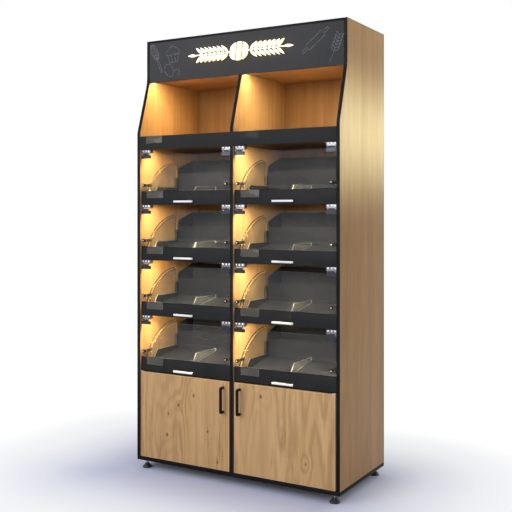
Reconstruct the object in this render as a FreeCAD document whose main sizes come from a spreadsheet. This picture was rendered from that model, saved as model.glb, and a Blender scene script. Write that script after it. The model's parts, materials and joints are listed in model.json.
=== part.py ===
import FreeCAD, Part
import os
import re

import Sketcher

# A bakery display rack: an oak-faced carcase with a leaning upper front, two open loaf
# bins, eight glazed bread cells with a crumb drawer each, and a two-door cupboard.
#
# Everything is modelled in the cabinet frame: X = 0 on the centre line, Y = 0 on the
# front edges of the boards (Y grows towards the back), Z = 0 on the floor. node() then
# moves each finished sub-part so that the origin is the middle of the footprint.

SIZES = {
    # whole cabinet
    "width": 1200,
    "depth": 560,
    "side_height": 2255,
    "board": 18,
    "roof_board_height": 12,
    "back_board": 8,
    "edge_band": 2,
    "handle_out": 32,
    # side profile: upright, leaning back, upright again
    "lean_start": 1747,
    "lean_end": 2028,
    "set_back": 86,
    "knee_radius": 90,
    "neck_radius": 220,
    # floor to carcase
    "foot_height": 45,
    "plinth": 20,
    "plinth_tube": 50,
    "foot_radius": 25,
    "foot_rim": 7,
    "foot_neck": 9,
    "foot_body": 26,
    "stud_radius": 5,
    "nut_radius": 9.8,
    "nut_height": 8,
    "foot_from_side": 42,
    "foot_from_front": 35,
    # levels
    "door_zone": 462,
    "row_pitch": 298.25,
    "rail_height": 71,
    "cupboard_level": 235,
    "cupboard_front": 58,
    "cupboard_slack": 0.5,
    # fronts
    "gap": 3,
    "shelf_inset": 28.5,
    "shelf_lift": 5,
    "canopy_lift": 10,
    "front_inset": 10,
    "front_height": 75,
    "front_depth": 16,
    "sheet": 1.5,
    # crumb drawer
    "crumb_depth": 420,
    "crumb_height": 12,
    "pull_length": 117,
    "pull_height": 10,
    "pull_bar": 6,
    "pull_reach": 20,
    "pull_post": 4,
    "pull_spacing": 96,
    "pull_level": 17.5,
    "label_length": 105,
    "label_height": 38,
    "label_from_end": 38,
    # flap and its hinges
    "pane_front": 14,
    "pane": 5,
    "pivot_front": 12,
    "pivot_drop": 24,
    "pivot_to_pane": 7,
    "pin_radius": 2,
    "knuckle": 6.4,
    "knuckle_length": 36,
    "running_gap": 0.05,
    "end_gap": 0.3,
    "lug": 3,
    "lug_half": 3.5,
    "leaf": 2,
    "leaf_lift": 5,
    "hinge_width": 58,
    "hinge_from_wall": 30,
    "clamp_height": 24,
    "knob_from_wall": 25,
    "knob_level": 106,
    "knob_radius": 9,
    "knob_stem": 7,
    "knob_front": -7.5,
    "knob_back": 66,
    "knob_head": 9,
    # bread trays
    "tray_rise": 0.1763,
    "tray_front": 62,
    "tray_lift": 40,
    "tray_side": 26.5,
    "tray_rim": 22,
    "step_front": 318,
    "step_back": 465,
    "step_floor": 158,
    "step_lip": 181,
    "cheek_front": 212,
    "cheek_back": 259,
    "ledge": 40,
    "divider_top": 100,
    "guard": 3,
    "guard_depth": 14,
    "guard_rim": 12,
    "guard_top": 243,
    "guard_radius": 300,
    "guard_crown": 330,
    # light strips
    "strip_width": 17,
    "strip_height": 9,
    "strip_from_front": 42,
    "strip_from_fascia": 4,
    "diffuser": 2,
    # doors
    "door_gap": 6,
    "door_front": 1,
    "door_bottom": 1,
    "door_top": 458,
    "pivot_in": 8,
    "pivot_deep": 6,
    "bracket": 3,
    "bracket_width": 22,
    "bracket_depth": 58,
    "door_pin": 4,
    "door_pin_length": 12,
    "handle_height": 136,
    "handle_bar": 12,
    "handle_edge": 28,
    "handle_from_top": 26,
    "handle_corner": 11,
}

ROWS = (1, 2, 3, 4)
COLUMNS = {"left": "(board - width / 2)", "right": "(board / 2)"}
COLUMN_WIDTH = "((width - 3 * board) / 2)"
BASE = "(foot_height + plinth)"
BACK_FACE = "(depth - edge_band - back_board)"
FASCIA_BACK = "(set_back + board)"
BIN_FLOOR = "(door_zone + 4 * row_pitch)"

doc = FreeCAD.newDocument("bread_rack")
sheet = doc.addObject("Spreadsheet::Sheet", "Sizes")
nodes = []


# ---------------------------------------------------------------- sheet and helpers

def fill_sheet():
    for row, (alias, size) in enumerate(SIZES.items(), start=1):
        sheet.set(f"A{row}", alias)
        sheet.set(f"B{row}", str(size))
        sheet.setAlias(f"B{row}", alias)
    doc.recompute()


def formula(term):
    """Turns 'width / 2 - board' into an expression on the sheet's aliases."""
    def qualify(match):
        word = match.group()
        return "Sizes." + word if word in SIZES else word
    return re.sub(r"[a-z][a-z_]*", qualify, str(term))


def value(term):
    return float(sheet.evalExpression(formula(term)))


def bind(item, prop, term):
    item.setExpression(prop, formula(term))


def put(item, corner):
    for axis, term in zip("xyz", corner):
        bind(item, f".Placement.Base.{axis}", term)
    return item


def box(name, size, corner):
    item = doc.addObject("Part::Box", name)
    for prop, term in zip(("Length", "Width", "Height"), size):
        bind(item, prop, term)
    return put(item, corner)


def cylinder(name, radius, length, centre, axis="z"):
    """A cylinder that starts at centre and runs along +z, +y or +x."""
    item = doc.addObject("Part::Cylinder", name)
    bind(item, "Radius", radius)
    bind(item, "Height", length)
    turns = {"z": (0, 0, 1, 0), "y": (1, 0, 0, -90), "x": (0, 1, 0, 90)}
    *direction, angle = turns[axis]
    item.Placement.Rotation = FreeCAD.Rotation(FreeCAD.Vector(*direction), angle)
    return put(item, centre)


def cone(name, start_radius, end_radius, length, centre):
    """A cone without its tip that starts at centre and runs along +X."""
    item = doc.addObject("Part::Cone", name)
    bind(item, "Radius1", start_radius)
    bind(item, "Radius2", end_radius)
    bind(item, "Height", length)
    item.Placement.Rotation = FreeCAD.Rotation(FreeCAD.Vector(0, 1, 0), 90)
    return put(item, centre)


def joined(name, *items):
    item = doc.addObject("Part::MultiFuse", name)
    item.Shapes = list(items)
    return item


def group(name, items):
    item = doc.addObject("Part::Compound", name)
    item.Links = list(items)
    return item


def cut(name, base, *tools):
    item = doc.addObject("Part::Cut", name)
    item.Base = base
    item.Tool = tools[0] if len(tools) == 1 else group(name + "_tools", tools)
    return item


def copy(source, name, corner):
    item = doc.addObject("App::Link", name)
    item.LinkedObject = source
    item.LinkTransform = True
    return put(item, corner)


def node(label, *items):
    """A finished sub-part: its solids, moved from the cabinet frame to the part's own."""
    item = group(label, items)
    item.Label = label
    bind(item, ".Placement.Base.y", "(handle_out - depth) / 2")
    nodes.append(item)
    return item


def outline(body, name, plane, corners):
    """A closed sketch of straight lines, each corner bound to the sheet."""
    sketch = body.newObject("Sketcher::SketchObject", name)
    origin_plane = [o for o in body.Origin.OriginFeatures if o.Role == plane][0]
    sketch.AttachmentSupport = (origin_plane, "")
    sketch.MapMode = "FlatFace"
    spots = [FreeCAD.Vector(value(a), value(b), 0) for a, b in corners]
    for start, end in zip(spots, spots[1:] + spots[:1]):
        sketch.addGeometry(Part.LineSegment(start, end))
    for index in range(len(spots)):
        follower = (index + 1) % len(spots)
        sketch.addConstraint(Sketcher.Constraint("Coincident", index, 2, follower, 1))
    for index, corner in enumerate(corners):
        for axis, term in zip("XY", corner):
            rule = Sketcher.Constraint("Distance" + axis, -1, 1, index, 1, value(term))
            number = sketch.addConstraint(rule)
            sketch.setExpression(f"Constraints[{number}]", formula(term))
    return sketch


def plate(name, thickness, corners):
    """A body cut from flat stock: an outline in Y and Z, padded along +X."""
    body = doc.addObject("PartDesign::Body", name)
    pad = body.newObject("PartDesign::Pad", name + "_pad")
    pad.Profile = outline(body, name + "_outline", "YZ_Plane", corners)
    bind(pad, "Length", thickness)
    return body


def turned(name, plane, corners):
    """A body turned about the plane's vertical axis from (radius, height) corners."""
    body = doc.addObject("PartDesign::Body", name)
    sketch = outline(body, name + "_outline", plane, corners)
    turn = body.newObject("PartDesign::Revolution", name + "_turn")
    turn.Profile = sketch
    turn.ReferenceAxis = (sketch, ["V_Axis"])
    turn.Angle = 360
    return body


def rounded(body, name, radius, *corners):
    """Rounds the edges along X that pass through the (Y, Z) corners."""
    doc.recompute()
    names = []
    for number, edge in enumerate(body.Shape.Edges, start=1):
        ends = [vertex.Point for vertex in edge.Vertexes]
        if len(ends) != 2 or abs(ends[0].x - ends[1].x) < 0.5:
            continue
        for y, z in corners:
            if abs(ends[0].y - value(y)) < 0.01 and abs(ends[0].z - value(z)) < 0.01:
                names.append(f"Edge{number}")
    base = body.Tip
    fillet = body.newObject("PartDesign::Fillet", name)
    fillet.Base = (base, names)
    bind(fillet, "Radius", radius)
    return body


def in_cells(source, corner=("0", "0", "0"), rows=ROWS):
    """One copy of a cell's piece in each cell of the rows, keyed by row and column."""
    copies = {}
    for row in rows:
        for column, column_x in COLUMNS.items():
            spot = (f"{column_x} + {corner[0]}", corner[1], f"{level(row)} + {corner[2]}")
            copies[row, column] = copy(source, f"{source.Name}_{row}_{column}", spot)
    return copies


def level(row):
    """The underside of a row's shelf board."""
    return f"({BASE} + door_zone + {row - 1} * row_pitch)"


# ---------------------------------------------------------------- carcase

def side_profile(inset, top):
    """The side's outline, held back by the edge band where inset is not 0."""
    return (
        (f"{inset}", "0"),
        (f"{inset}", "lean_start"),
        (f"set_back + {inset}", "lean_end"),
        (f"set_back + {inset}", top),
        (f"depth - {inset}", top),
        (f"depth - {inset}", "0"),
    )


def leaning_plate(name, thickness, inset, top):
    body = plate(name, thickness, side_profile(inset, top))
    knee = (f"{inset}", "lean_start")
    neck = (f"set_back + {inset}", "lean_end")
    rounded(body, name + "_knee", f"knee_radius - {inset}", knee)
    rounded(body, name + "_neck", f"neck_radius + {inset}", neck)
    return body


def make_sides():
    core = leaning_plate("side_core", "board", "edge_band", "side_height - edge_band")
    blank = leaning_plate("side_blank", "board", "0", "side_height")
    band = cut("side_band", blank, core)
    left = ("-width / 2", "0", BASE)
    right = ("width / 2 - board", "0", BASE)
    node("side_panel_left", copy(core, "side_left", left))
    node("side_panel_right", copy(core, "side_right", right))
    return [copy(band, "band_left", left), copy(band, "band_right", right)]


def make_centre_divider(side_bands):
    """The divider stops under the canopy board and is notched for the bin rail."""
    notch = "(edge_band + board)"
    rail_top = f"({BIN_FLOOR} + rail_height)"
    body = plate("divider_board", "board", (
        ("edge_band", "0"),
        ("edge_band", BIN_FLOOR),
        (notch, BIN_FLOOR),
        (notch, rail_top),
        ("edge_band", rail_top),
        ("edge_band", "lean_start"),
        ("set_back + edge_band", "lean_end"),
        (FASCIA_BACK, "lean_end"),
        (FASCIA_BACK, "lean_end + canopy_lift"),
        (BACK_FACE, "lean_end + canopy_lift"),
        (BACK_FACE, "0"),
    ))
    rounded(body, "divider_knee", "knee_radius / 2", ("edge_band", "lean_start"))
    spot = ("-board / 2", "0", BASE)
    node("centre_divider", copy(body, "divider_place", spot))

    lower_band = box("divider_band_low", ("board", "edge_band", BIN_FLOOR), spot)
    upper_blank = plate("divider_band_blank", "board", (
        ("0", rail_top),
        ("0", "lean_start"),
        ("set_back", "lean_end"),
        ("set_back + edge_band", "lean_end"),
        ("edge_band", "lean_start"),
        ("edge_band", rail_top),
    ))
    upper_outer = rounded(upper_blank, "divider_band_knee", "knee_radius / 2 + edge_band",
                          ("0", "lean_start"))
    upper_band = cut("divider_band_high", upper_outer, body)
    node("edge_bands", *side_bands, lower_band,
         copy(upper_band, "divider_band_place", spot))


def make_boards():
    """Boards over a lit cell have a groove in the underside for the light strip."""
    front = "(edge_band + board + gap + 1)"
    plain = box("shelf_board", (COLUMN_WIDTH, f"{BACK_FACE} - shelf_inset", "board"),
                ("0", "shelf_inset", "shelf_lift"))
    groove = box("strip_groove", (COLUMN_WIDTH, "strip_width", "strip_height"),
                 ("0", "strip_from_front", "shelf_lift"))
    grooved = cut("lit_shelf_board", plain, groove)
    shelves = [*in_cells(plain, rows=ROWS[:1]).values(),
               *in_cells(grooved, rows=ROWS[1:]).values()]
    wide_board = box("bin_floor", (COLUMN_WIDTH, f"{BACK_FACE} - edge_band - board", "board"),
                     ("0", "edge_band + board", "shelf_lift"))
    bin_floor = cut("lit_bin_floor", wide_board, groove)
    bottoms, cupboards = [], []
    for column, column_x in COLUMNS.items():
        shelves.append(copy(bin_floor, f"bin_floor_{column}",
                            (column_x, "0", f"{BASE} + {BIN_FLOOR}")))
        bottoms.append(box(
            f"bottom_{column}",
            (COLUMN_WIDTH, f"{BACK_FACE} - {front}", "board"),
            (column_x, front, BASE)))
        cupboards.append(box(
            f"cupboard_shelf_{column}",
            (f"{COLUMN_WIDTH} - 2 * cupboard_slack", f"{BACK_FACE} - cupboard_front - 2",
             "board"),
            (f"{column_x} + cupboard_slack", "cupboard_front",
             f"{BASE} + cupboard_level")))
    node("shelf_boards", *shelves)
    node("bottom_boards", *bottoms)
    node("cupboard_shelves", *cupboards)


def make_top():
    inner_width = "width - 2 * board"
    inner_left = "board - width / 2"
    canopy_level = f"{BASE} + lean_end + canopy_lift"
    canopy = cut(
        "canopy",
        box("canopy_board", (inner_width, f"{BACK_FACE} - {FASCIA_BACK}", "board"),
            (inner_left, FASCIA_BACK, canopy_level)),
        box("canopy_groove", (inner_width, "strip_width", "strip_height"),
            (inner_left, f"{FASCIA_BACK} + strip_from_fascia", canopy_level)))
    roof = box("roof",
               (inner_width, "depth - edge_band - set_back", "roof_board_height"),
               (inner_left, "set_back", f"{BASE} + side_height - roof_board_height"))
    node("top_boards", canopy, roof)
    node("fascia_board", box(
        "fascia", (inner_width, "board", "side_height - roof_board_height - lean_end"),
        (inner_left, "set_back", f"{BASE} + lean_end")))
    node("bin_rail", box("rail", (inner_width, "board", "rail_height"),
                         (inner_left, "edge_band", f"{BASE} + {BIN_FLOOR}")))
    node("back_panel", box(
        "back", (inner_width, "back_board", "side_height - roof_board_height"),
        (inner_left, BACK_FACE, BASE)))


def make_base():
    """A welded frame of flat tube with one cross tube, drilled for the feet's studs."""
    outer = box("frame_outer", ("width", "depth", "plinth"),
                ("-width / 2", "0", "foot_height"))
    window = ("(width - 3 * plinth_tube) / 2", "depth - 2 * plinth_tube", "plinth")
    windows = [box(f"frame_window_{side}", window, (x, "plinth_tube", "foot_height"))
               for side, x in (("left", "plinth_tube - width / 2"),
                               ("right", "plinth_tube / 2"))]
    spots = [(x, y) for x in ("foot_from_side - width / 2", "width / 2 - foot_from_side")
             for y in ("foot_from_front", "depth - foot_from_front")]
    holes = [cylinder(f"stud_hole_{n}", "stud_radius", "plinth", (x, y, "foot_height"))
             for n, (x, y) in enumerate(spots, start=1)]
    node("base_frame", cut("frame", outer, *windows, *holes))

    foot = turned("foot", "XZ_Plane", (
        ("0", "0"),
        ("foot_radius", "0"),
        ("foot_radius", "foot_rim"),
        ("foot_neck", "foot_body"),
        ("stud_radius", "foot_body"),
        ("stud_radius", "foot_height + plinth - 2"),
        ("0", "foot_height + plinth - 2"),
    ))
    feet = [copy(foot, f"foot_{n}", (x, y, "0")) for n, (x, y) in enumerate(spots, 1)]
    blank = doc.addObject("Part::Prism", "nut_blank")
    bind(blank, "Circumradius", "nut_radius")
    bind(blank, "Height", "nut_height")
    nut = cut("nut", blank, cylinder("nut_bore", "stud_radius", "nut_height",
                                     ("0", "0", "0")))
    nuts = [copy(nut, f"nut_{n}", (x, y, "foot_height - nut_height"))
            for n, (x, y) in enumerate(spots, start=1)]
    node("levelling_feet", *feet, *nuts)


# ---------------------------------------------------------------- light strips

def make_light_strips():
    """An extruded channel with an opal strip in its mouth, let in flush under a board."""
    wall = "sheet"
    level = "(row_pitch + shelf_lift)"
    channel = cut(
        "strip_channel",
        box("strip_outer", (COLUMN_WIDTH, "strip_width", "strip_height"),
            ("0", "strip_from_front", level)),
        box("strip_hollow",
            (COLUMN_WIDTH, f"strip_width - 2 * {wall}", f"strip_height - {wall}"),
            ("0", f"strip_from_front + {wall}", level)))
    lens = box("strip_lens", (COLUMN_WIDTH, f"strip_width - 2 * {wall}", "diffuser"),
               ("0", f"strip_from_front + {wall}", level))
    channels = list(in_cells(channel).values())
    lenses = list(in_cells(lens).values())
    bin_back = f"{FASCIA_BACK} + strip_from_fascia - strip_from_front"
    bin_level = f"{BASE} + lean_end + canopy_lift - {level}"
    for column, column_x in COLUMNS.items():
        spot = (column_x, bin_back, bin_level)
        channels.append(copy(channel, f"bin_channel_{column}", spot))
        lenses.append(copy(lens, f"bin_lens_{column}", spot))
    node("led_profiles", *channels)
    node("led_diffusers", *lenses)


# ---------------------------------------------------------------- bread trays

def tray_level(y, above="0"):
    """Height of the lower tray's underside, which climbs towards the back."""
    return f"(tray_lift + ({y} - tray_front) * tray_rise + {above})"


def make_trays():
    tray_back = "(step_front - 3)"
    length = f"{COLUMN_WIDTH} - 2 * tray_side"

    def trough(name, thickness, front, back, low, high):
        return plate(name, thickness, (
            (front, tray_level(front, low)),
            (back, tray_level(back, low)),
            (back, tray_level(back, high)),
            (front, tray_level(front, high)),
        ))
    outer = trough("tray_outer", length, "tray_front", tray_back, "0", "tray_rim")
    hollow = trough("tray_hollow", f"{length} - 2 * sheet", "(tray_front + sheet)",
                    f"({tray_back} - sheet)", "sheet", "tray_rim + 1")
    tray = cut("tray", outer, copy(hollow, "tray_hollow_place", ("sheet", "0", "0")))
    node("bread_trays", *in_cells(tray, ("tray_side", "0", "0")).values())

    depth = "step_back - step_front"
    cheek = plate("cheek", "sheet", (
        ("step_front", "step_floor"),
        ("step_back", "step_floor"),
        ("step_back", "cheek_back"),
        ("step_front + 12", "cheek_front + 4"),
        ("step_front", "cheek_front - 8"),
    ))
    step = joined(
        "step_tray",
        box("step_riser", (length, "sheet", f"step_lip - {tray_level('step_front')}"),
            ("0", "step_front", tray_level("step_front"))),
        box("step_floor_sheet", (length, depth, "sheet"),
            ("0", "step_front", "step_floor")),
        box("step_back_sheet", (length, "sheet", "cheek_back - step_floor"),
            ("0", "step_back - sheet", "step_floor")),
        copy(cheek, "cheek_left", ("0", "0", "0")),
        copy(cheek, "cheek_right", (f"{length} - sheet", "0", "0")))
    node("riser_trays", *in_cells(step, ("tray_side", "0", "0")).values())


def make_bearers():
    """A bent bracket each side carries both trays and guides the crumb drawer."""
    low = tray_level("tray_front", "-sheet")
    web = plate("bearer_web", "sheet", (
        ("tray_front", "shelf_lift + board"),
        ("step_back", "shelf_lift + board"),
        ("step_back", "step_floor - sheet"),
        ("step_front + sheet", "step_floor - sheet"),
        ("step_front + sheet", tray_level("(step_front + sheet)", "-sheet")),
        ("tray_front", low),
    ))
    lower_ledge = plate("lower_ledge", "ledge", (
        ("tray_front", low),
        ("step_front - 3", tray_level("(step_front - 3)", "-sheet")),
        ("step_front - 3", tray_level("(step_front - 3)")),
        ("tray_front", "tray_lift"),
    ))
    upper_ledge = box("upper_ledge", ("ledge", "step_back - step_front - sheet", "sheet"),
                      ("0", "step_front + sheet", "step_floor - sheet"))
    left = joined("bearer", web, lower_ledge, upper_ledge)
    right = doc.addObject("Part::Mirroring", "bearer_mirrored")
    right.Source = left
    right.Normal = FreeCAD.Vector(1, 0, 0)
    node("tray_bearers", *in_cells(left).values(),
         *in_cells(right, (COLUMN_WIDTH, "0", "0")).values())


def make_guards_and_dividers():
    """Clear wall guards with a sloping quarter-round rim, and low clear dividers."""
    guard_back = "(step_front - 1)"
    blank = plate("guard_blank", "guard_depth", (
        ("tray_front - 20", tray_level("tray_front")),
        ("tray_front", tray_level("tray_front")),
        (guard_back, tray_level(guard_back)),
        (guard_back, "guard_top + 1"),
        ("tray_front - 20", "guard_top + 1"),
    ))
    crown = ("0", "guard_crown", "guard_top - guard_radius")
    outside = cone("guard_outside", "guard_radius", "guard_radius - guard_rim",
                   "guard_depth", crown)
    wall = "1.3 * guard"
    hollow_depth = "(guard_depth - guard)"
    inside = cone("guard_inside", f"guard_radius - {wall}",
                  f"guard_radius - {wall} - guard_rim * {hollow_depth} / guard_depth",
                  hollow_depth, crown)
    dished = doc.addObject("Part::MultiCommon", "guard_dished")
    dished.Shapes = [blank, outside]
    left = cut("guard_left", dished, inside)
    right = doc.addObject("Part::Mirroring", "guard_right")
    right.Source = left
    right.Normal = FreeCAD.Vector(1, 0, 0)
    off_wall = "0.5"
    node("side_guards", *in_cells(left, (off_wall, "0", "0")).values(),
         *in_cells(right, (f"{COLUMN_WIDTH} - {off_wall}", "0", "0")).values())

    back = "(step_front - 3 - 2 * sheet)"
    strip = plate("tray_divider", "guard", (
        ("tray_front + 13", tray_level("(tray_front + 13)", "sheet")),
        (back, tray_level(back, "sheet")),
        (back, "divider_top"),
        ("tray_front + 56", "divider_top"),
    ))
    strips = []
    inner_left = "tray_side + sheet"
    middle = f"({COLUMN_WIDTH} - guard) / 2"
    inner_right = f"{COLUMN_WIDTH} - tray_side - sheet - guard"
    for n, x in enumerate((inner_left, middle, inner_right), start=1):
        one = copy(strip, f"tray_divider_{n}", ("0", "0", "0"))
        strips += in_cells(one, (x, "0", "0")).values()
    node("tray_dividers", *strips)


# ---------------------------------------------------------------- glazed flaps

PIVOT_Z = "(row_pitch - pivot_drop)"
PANE_TOP = f"({PIVOT_Z} - pivot_to_pane)"
PANE_BOTTOM = "(front_height + gap)"
HINGE_CENTRES = {
    "left": "hinge_from_wall",
    "right": f"({COLUMN_WIDTH} - hinge_from_wall)",
}
KNOB_CENTRES = {
    "left": "knob_from_wall",
    "right": f"({COLUMN_WIDTH} - knob_from_wall)",
}


def make_hinge_mounts():
    """Fixed half: a block under the board above, and a leaf with a pin in its two lugs."""
    lug_x = "(knuckle_length / 2 + end_gap)"
    leaf_back = "(pane_front + 1)"
    block_back = "(strip_from_front - 2)"
    block = joined(
        "hinge_block",
        box("hinge_block_low",
            ("hinge_width", f"{block_back} - {leaf_back}", "pivot_drop - leaf_lift"),
            ("-hinge_width / 2", leaf_back, "row_pitch - pivot_drop + leaf_lift")),
        box("hinge_block_high",
            ("hinge_width", f"{block_back} - shelf_inset", "shelf_lift"),
            ("-hinge_width / 2", "shelf_inset", "row_pitch")))
    plate_up = box("hinge_leaf_plate", ("hinge_width", "leaf", "pivot_drop - leaf_lift - 0.5"),
                   ("-hinge_width / 2", f"{leaf_back} - leaf", f"{PIVOT_Z} + leaf_lift"))
    lug_size = ("lug", f"{leaf_back} - pivot_front + lug_half", "leaf_lift + lug_half + 0.5")
    lugs = [box(f"hinge_lug_{side}", lug_size,
                (x, "pivot_front - lug_half", f"{PIVOT_Z} - lug_half"))
            for side, x in (("left", f"-{lug_x} - lug"), ("right", lug_x))]
    pin = cylinder("hinge_pin", "pin_radius", f"2 * {lug_x}",
                   (f"-{lug_x}", "pivot_front", PIVOT_Z), "x")
    leaf = joined("hinge_leaf", plate_up, *lugs, pin)
    mounts = []
    for side, x in HINGE_CENTRES.items():
        for piece in (block, leaf):
            one = copy(piece, f"{piece.Name}_at_{side}", ("0", "0", "0"))
            mounts += in_cells(one, (x, "0", "0")).values()
    node("hinge_mounts", *mounts)


def make_clamp():
    """Moving half: a bored knuckle on the pin, with a plate down the front of the pane."""
    knuckle = box("clamp_knuckle", ("knuckle_length", "knuckle", "knuckle"),
                  ("-knuckle_length / 2", "pivot_front - knuckle / 2",
                   f"{PIVOT_Z} - knuckle / 2"))
    neck = box("clamp_neck", ("knuckle_length", "leaf", "pivot_to_pane"),
               ("-knuckle_length / 2", "pane_front - leaf", f"{PIVOT_Z} - pivot_to_pane"))
    face = box("clamp_face", ("hinge_width", "leaf", "clamp_height - leaf_lift - 0.5"),
               ("-hinge_width / 2", "pane_front - leaf", f"{PIVOT_Z} - clamp_height"))
    bore = cylinder("clamp_bore", "pin_radius + running_gap", "knuckle_length",
                    ("-knuckle_length / 2", "pivot_front", PIVOT_Z), "x")
    front = cut("clamp_front", joined("clamp_blank", knuckle, neck, face), bore)
    back = box("clamp_back", ("hinge_width", "leaf", "clamp_height - pivot_to_pane"),
               ("-hinge_width / 2", "pane_front + pane", f"{PIVOT_Z} - clamp_height"))
    return front, back


def octagon(name, radius, length, centre):
    """An eight-sided bar that starts at centre and runs along +Y."""
    item = doc.addObject("Part::Prism", name)
    item.Polygon = 8
    bind(item, "Circumradius", radius)
    bind(item, "Height", length)
    item.Placement.Rotation = FreeCAD.Rotation(FreeCAD.Vector(1, 0, 0), -90)
    return put(item, centre)


def make_flaps():
    stem_front = "(knob_front + knob_head)"
    stem_back = "(knob_back - knob_head)"
    knob = joined(
        "knob",
        octagon("knob_head_front", "knob_radius", "knob_head", ("0", "knob_front", "0")),
        octagon("knob_shank", "knob_stem", f"{stem_back} - {stem_front}",
                ("0", stem_front, "0")),
        octagon("knob_head_back", "knob_radius", "knob_head", ("0", stem_back, "0")))
    glass = box("pane_blank",
                (f"{COLUMN_WIDTH} - 2 * gap", "pane", f"{PANE_TOP} - {PANE_BOTTOM}"),
                ("gap", "pane_front", PANE_BOTTOM))
    holes = [octagon(f"pane_hole_{side}", "knob_stem", "pane",
                     (x, "pane_front", "knob_level"))
             for side, x in KNOB_CENTRES.items()]
    panes = in_cells(cut("pane_drilled", glass, *holes))
    front, back = make_clamp()
    fittings = {key: [] for key in panes}
    for side in ("left", "right"):
        hinge_x, knob_x = HINGE_CENTRES[side], KNOB_CENTRES[side]
        for piece, spot in ((front, (hinge_x, "0", "0")), (back, (hinge_x, "0", "0")),
                            (knob, (knob_x, "0", "knob_level"))):
            one = copy(piece, f"{piece.Name}_at_{side}", ("0", "0", "0"))
            for key, placed in in_cells(one, spot).items():
                fittings[key].append(placed)
    for (row, column), pane in panes.items():
        node(f"flap_pane_{column}_{row}", pane)
        node(f"flap_fittings_{column}_{row}", *fittings[row, column])


# ---------------------------------------------------------------- crumb drawers

def make_crumb_drawers():
    """One folded sheet: a boxed front and a shallow tray behind it."""
    wide = f"({COLUMN_WIDTH} - 2 * gap)"
    tray_wide = f"({wide} - 2)"
    low = "sheet"
    high = f"(front_height - {low})"
    front = cut(
        "front_folded",
        box("front_blank", (wide, "front_depth", high), ("gap", "front_inset", low)),
        box("front_hollow",
            (f"{wide} - 2 * sheet", "front_depth - sheet", f"{high} - 2 * sheet"),
            ("gap + sheet", "front_inset + sheet", f"{low} + sheet")))
    tray_y = "(front_inset + sheet)"
    tray_z = "(shelf_lift + board + 0.5)"
    crumb = cut(
        "crumb_folded",
        box("crumb_blank", (tray_wide, "crumb_depth", "crumb_height"),
            ("gap + 1", tray_y, tray_z)),
        box("crumb_hollow",
            (f"{tray_wide} - 2 * sheet", "crumb_depth - 2 * sheet", "crumb_height"),
            ("gap + 1 + sheet", f"{tray_y} + sheet", f"{tray_z} + sheet")))
    drawers = in_cells(joined("crumb_drawer", front, crumb))

    bar = box("pull_bar_front", ("pull_length", "pull_bar", "pull_height"),
              ("0", "front_inset - pull_reach", "pull_level - pull_height / 2"))
    posts = [box(f"pull_post_{n}", ("2 * pull_post", "pull_reach - pull_bar", "2 * pull_post"),
                 (f"(pull_length + {sign} * pull_spacing) / 2 - pull_post",
                  "front_inset - pull_reach + pull_bar", "pull_level - pull_post"))
             for n, sign in ((1, "-1"), (2, "1"))]
    pulls = in_cells(joined("pull", bar, *posts),
                     (f"({COLUMN_WIDTH} - pull_length) / 2", "0", "0"))
    label = box("label_holder", ("label_length", "2", "label_height"),
                ("gap + label_from_end", "front_inset - 2", "front_height - label_height"))
    labels = in_cells(label)
    for (row, column), drawer in drawers.items():
        node(f"crumb_drawer_{column}_{row}", drawer)
        node(f"drawer_pull_{column}_{row}", pulls[row, column], labels[row, column])
    rail_label_y = "edge_band - 2"
    node("rail_label_holders", *(
        box(f"rail_label_{column}", ("label_length", "2", "label_height"),
            (f"{column_x} + gap + label_from_end", rail_label_y,
             f"{BASE} + {BIN_FLOOR} + rail_height - label_height"))
        for column, column_x in COLUMNS.items()))


# ---------------------------------------------------------------- cupboard doors

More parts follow.
